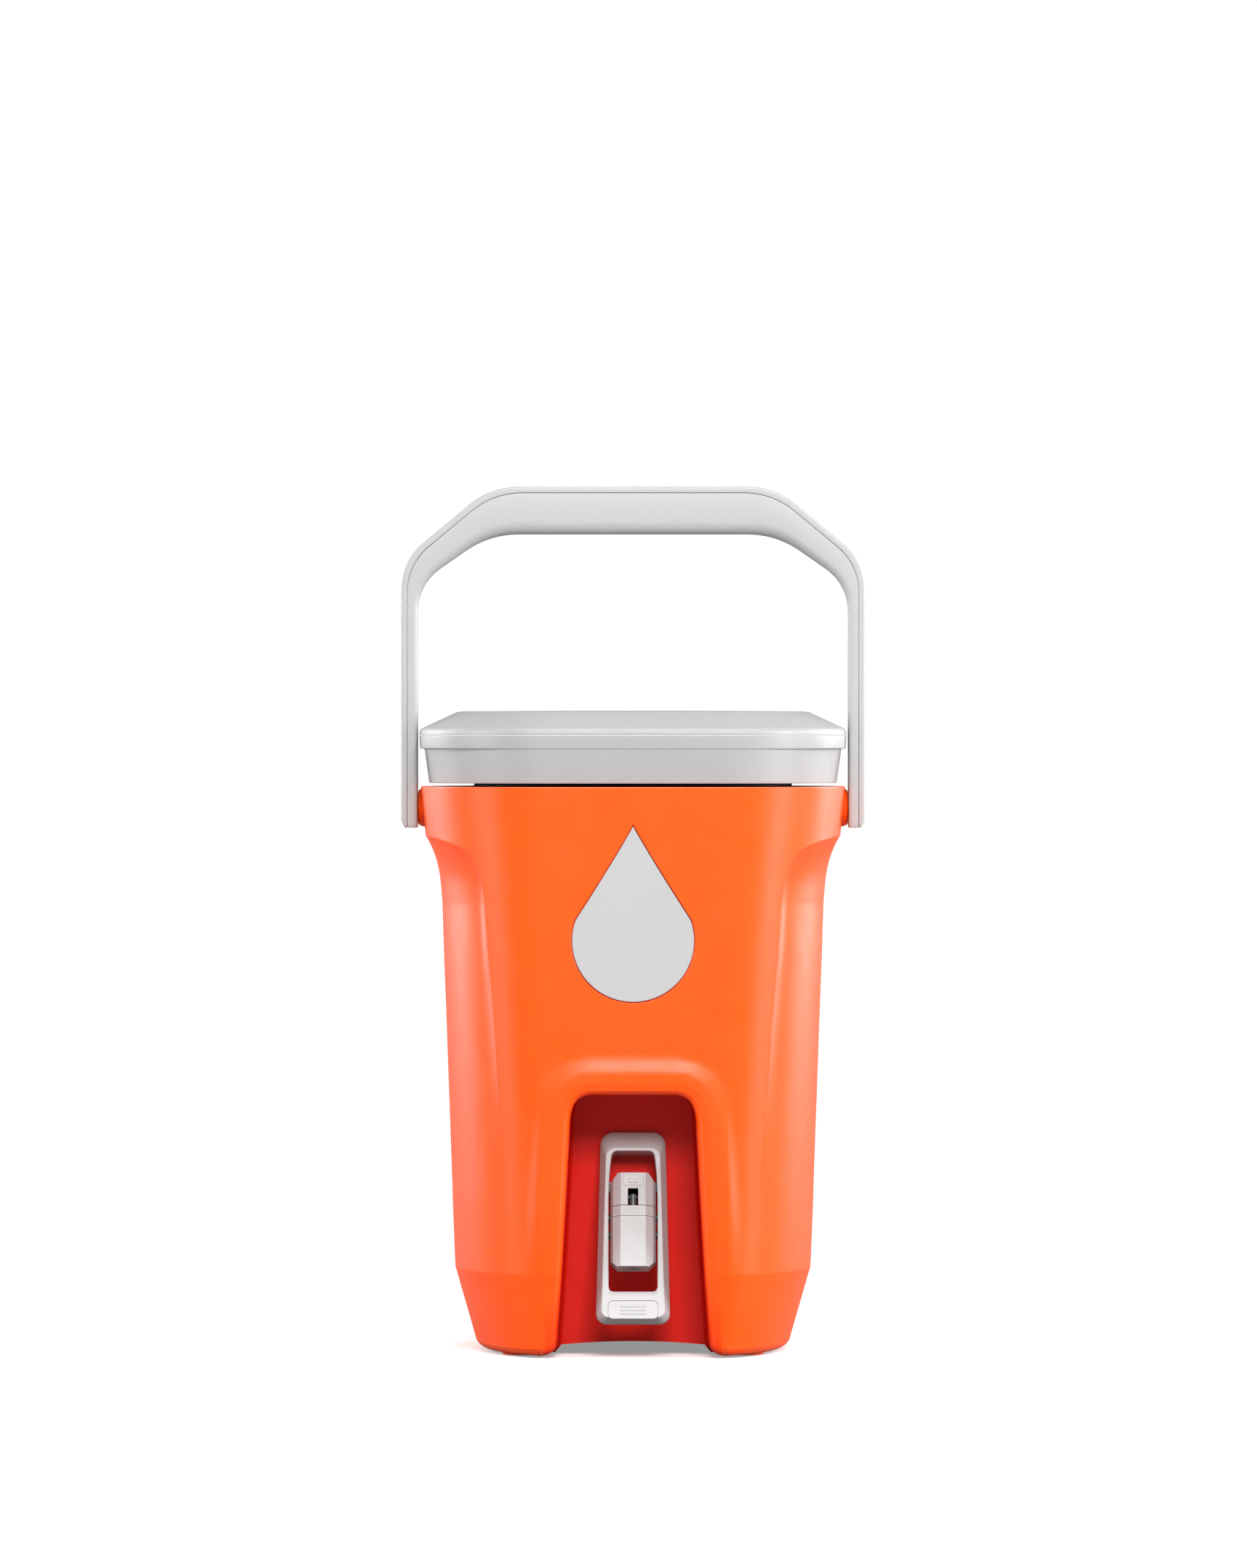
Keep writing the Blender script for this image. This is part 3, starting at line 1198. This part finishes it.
def moulded(name, colour, rough=0.42, grain=0.05, cloud=0.03, relief=0.02, gloss=0.5, wear=1.0, pocket=None):
    """Injection-moulded plastic with a fine spark-eroded texture."""
    material, tree, shader, place = new_material(name)
    fine = noise(tree, place, 1250.0, 1.5, 0.6)
    broad = noise(tree, place, 7.0, 3.0, 0.5)
    middle = noise(tree, place, 55.0, 2.0, 0.5)
    grains = ranged(tree, fine, 0.3, 0.7, 0.0, 1.0)
    speckle = mixed(tree, grains, shaded(colour, 1 - grain), shaded(colour, 1 + grain))
    tint = ranged(tree, broad, 0.3, 0.7, 1 - cloud, 1 + cloud)
    shade = add_node(tree, "ShaderNodeCombineColor", dict.fromkeys(("Red", "Green", "Blue"), tint))
    tinted = mixed(tree, 1.0, speckle, shade.outputs["Color"], "MULTIPLY")
    if pocket:
        tinted = mixed(tree, inside_pocket(tree, place), tinted, pocket)
    pale = tuple(0.75 * c + 0.12 for c in colour)
    worn = worn_edges(tree, middle)
    rubbed = mixed(tree, maths(tree, "MULTIPLY", worn, WEAR_TINT * wear), tinted, pale)
    scuffed = ranged(tree, middle, 0.3, 0.7, rough - 0.04, rough + 0.04)
    polished = maths(tree, "MULTIPLY_ADD", worn, -WEAR_SHINE * wear, scuffed)
    feed(tree, shader, Base_Color=rubbed, Roughness=polished)
    shader.inputs["Specular IOR Level"].default_value = gloss
    bumped(tree, shader, [(middle, 0.012, 0.5), (fine, relief, 0.8)])
    return material


def rubbery(name, colour, rough=0.72):
    material, tree, shader, place = new_material(name)
    fine = noise(tree, place, 900.0, 3.0, 0.7)
    dust = noise(tree, place, 60.0, 4.0, 0.6)
    dusty = mixed(tree, ranged(tree, dust, 0.45, 0.8, 0.0, 0.6), colour, tuple(c + 0.05 for c in colour))
    feed(tree, shader, Base_Color=dusty, Roughness=ranged(tree, fine, 0.2, 0.8, rough - 0.08, rough + 0.08))
    bumped(tree, shader, [(fine, 0.03, 0.8)])
    return material


def steely(name):
    material, tree, shader, place = new_material(name)
    stretch = add_node(tree, "ShaderNodeMapping", {"Vector": place, "Scale": (3000.0, 3000.0, 60.0)})
    lines = noise(tree, stretch.outputs["Vector"], 1.0, 2.0, 0.6)
    stain = mixed(tree, noise(tree, place, 120.0, 3.0, 0.5), (0.56, 0.57, 0.58), (0.66, 0.66, 0.66))
    feed(tree, shader, Base_Color=stain, Roughness=ranged(tree, lines, 0.2, 0.8, 0.22, 0.4))
    shader.inputs["Metallic"].default_value = 1.0
    bumped(tree, shader, [(lines, 0.01, 0.6)])
    return material


def foamy(name):
    material, tree, shader, place = new_material(name)
    cells = add_node(tree, "ShaderNodeTexVoronoi", {"Vector": place, "Scale": 700.0}).outputs["Distance"]
    broad = noise(tree, place, 25.0, 4.0, 0.6)
    shade = mixed(tree, broad, (0.74, 0.62, 0.34), (0.86, 0.77, 0.5))
    feed(tree, shader, Base_Color=shade, Roughness=ranged(tree, cells, 0.0, 0.8, 0.75, 0.95))
    bumped(tree, shader, [(cells, 0.25, 0.9), (broad, 0.4, 0.5)])
    return material


ORANGE = (0.98, 0.078, 0.001)
POCKET_RED = (0.68, 0.006, 0.0)


def make_materials():
    return {
        "orange": moulded("shell_orange", ORANGE, 0.4, 0.09, 0.03, gloss=0.3, pocket=POCKET_RED),
        "lid": moulded("lid_grey", (0.335, 0.33, 0.33), 0.46, 0.05, 0.02, gloss=0.4),
        "pale": moulded("pale_grey", (0.4, 0.4, 0.4), 0.42, 0.04, 0.02, gloss=0.4),
        "handle": moulded("handle_grey", (0.36, 0.36, 0.36), 0.42, 0.03, 0.02, 0.012, 0.4),
        "liner": moulded("liner_white", (0.6, 0.6, 0.59), 0.32, 0.01, 0.015, 0.004, 0.5, 0.0),
        "black": moulded("black_plastic", (0.02, 0.019, 0.019), 0.4, 0.15, 0.1),
        "stem": moulded("stem_grey", (0.07, 0.07, 0.074), 0.4, 0.1, 0.1),
        "rubber": rubbery("black_rubber", (0.03, 0.022, 0.022)),
        "steel": steely("steel"),
        "foam": foamy("foam"),
    }


# ------------------------------------------------------------------ floor, lights, camera
FLOOR = {"half_x": 2.2, "front": -2.2, "back": 1.2}
FLOOR_BOUNCE = 0.25
FLOOR_LIFT = 0.3
WORLD_GLOW, WORLD_SEEN = 0.3, 1.1  # the background's strength as light, and as the camera sees it
LENS = 228.7
SENSOR = 36.0
CAMERA_PLACE = (-0.0029, -6.4625, 0.398)
CAMERA_PITCH = 0.28


def make_floor():
    """Pale paper that looks white to the camera but throws little light back."""
    x, front, back = FLOOR["half_x"], FLOOR["front"], FLOOR["back"]
    mesh = bpy.data.meshes.new("floor")
    mesh.from_pydata([(-x, front, 0), (x, front, 0), (x, back, 0), (-x, back, 0)], [], [(0, 1, 2, 3)])
    material, tree, shader, place = new_material("floor_paper")
    tone = noise(tree, place, 3.0, 2.0, 0.5)
    seen = add_node(tree, "ShaderNodeLightPath").outputs["Is Camera Ray"]
    paper = mixed(tree, tone, (0.78, 0.78, 0.78), (0.8, 0.8, 0.8))
    shade, lift = mixed(tree, seen, (FLOOR_BOUNCE,) * 3, paper), ranged(tree, seen, 0.0, 1.0, 0.0, FLOOR_LIFT)
    feed(tree, shader, Base_Color=shade, Emission_Strength=lift)
    shader.inputs["Emission Color"].default_value = (1, 1, 1, 1)
    shader.inputs["Roughness"].default_value = 0.9
    shader.inputs["Specular IOR Level"].default_value = 0.0
    linked("floor", mesh, material)


def area_light(name, place, aim_z, size, power):
    light = bpy.data.lights.new(name, "AREA")
    light.shape = "RECTANGLE"
    light.size, light.size_y = size
    light.energy = power
    lamp = bpy.data.objects.new(name, light)
    lamp.location = place
    lamp.rotation_euler = (Vector((0, 0, aim_z)) - Vector(place)).to_track_quat("-Z", "Y").to_euler()
    bpy.context.scene.collection.objects.link(lamp)
    lamp.visible_camera = False


# name, place, the height on the jug's axis that it is aimed at, size, watts
LIGHTS = [
    ("softbox_left", (-2.5, -0.8, 0.85), 0.25, (1.1, 1.5), 52),
    ("softbox_right", (2.5, -0.8, 0.85), 0.25, (1.1, 1.5), 84),
    ("overhead", (0, -0.9, 2.6), 0, (2.4, 1.6), 22),
    ("rim_left", (-2.2, 2.0, 0.9), 0.28, (1.0, 1.5), 48),
    ("rim_right", (2.2, 2.0, 0.9), 0.28, (1.0, 1.5), 56),
    ("key", (0.4, -3.6, 2.4), 0.22, (1.6, 1.2), 158),
]


def make_world():
    world = bpy.data.worlds.new("studio")
    bpy.context.scene.world = world
    world.use_nodes = True
    tree = world.node_tree
    background = tree.nodes["Background"]
    path = add_node(tree, "ShaderNodeLightPath")
    strength = ranged(tree, path.outputs["Is Camera Ray"], 0.0, 1.0, WORLD_GLOW, WORLD_SEEN)
    background.inputs["Color"].default_value = (1, 1, 1, 1)
    tree.links.new(strength, background.inputs["Strength"])


def make_camera():
    data = bpy.data.cameras.new("camera")
    data.sensor_fit = "VERTICAL"
    data.sensor_height = SENSOR
    data.lens = LENS
    camera = bpy.data.objects.new("camera", data)
    camera.location = CAMERA_PLACE
    camera.rotation_euler = (math.radians(90 - CAMERA_PITCH), 0, 0)
    bpy.context.scene.collection.objects.link(camera)
    bpy.context.scene.camera = camera


# ------------------------------------------------------------------ the scene
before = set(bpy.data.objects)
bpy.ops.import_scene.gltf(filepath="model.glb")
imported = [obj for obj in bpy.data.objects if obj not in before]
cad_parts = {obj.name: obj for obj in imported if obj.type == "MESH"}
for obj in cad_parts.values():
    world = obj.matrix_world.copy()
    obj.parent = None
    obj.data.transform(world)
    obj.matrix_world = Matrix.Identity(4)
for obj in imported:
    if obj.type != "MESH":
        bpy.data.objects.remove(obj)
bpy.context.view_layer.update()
finish = make_materials()
make_body(finish["orange"])
make_emblem(finish["pale"])
make_bosses(finish["orange"])
make_lid(finish["lid"], finish["rubber"])
make_bail(finish["handle"])
make_hinge_parts(finish["black"])
make_feet(finish["orange"])
lever_frame(finish["pale"])
lever_pad(finish["pale"])
spout_tab(finish["pale"])
make_spring(finish["steel"])
for part, look, edge in (
    ("insulation_foam", "foam", 0), ("inner_liner", "liner", 0.5), ("lid_foam", "foam", 0),
    ("spigot_shank", "pale", 0.3), ("shank_nut", "pale", 0.5), ("outer_gasket", "rubber", 0.3),
    ("inner_gasket", "rubber", 0.3), ("wall_sleeve", "pale", 0.3), ("spout_body", "pale", 0.5),
    ("spout_outlet_ring", "lid", 0.3), ("spout_collar", "pale", 0.3), ("spout_cap", "pale", 0.45),
    ("stem_oring", "rubber", 0.2), ("lever_pivot_pin_left", "black", 0.3),
    ("lever_pivot_pin_right", "black", 0.3), ("lever_stop_pin_left", "black", 0.3),
    ("lever_stop_pin_right", "black", 0.3), ("lever_yoke", "black", 0.3), ("valve_stem", "stem", 0.3),
    ("valve_seal", "rubber", 0.2), ("stem_cross_pin", "black", 0.2),
):
    dress(part, finish[look], edge)
make_floor()
for light_row in LIGHTS:
    area_light(*light_row)
make_world()
make_camera()
bpy.context.scene.view_settings.view_transform = "Standard"
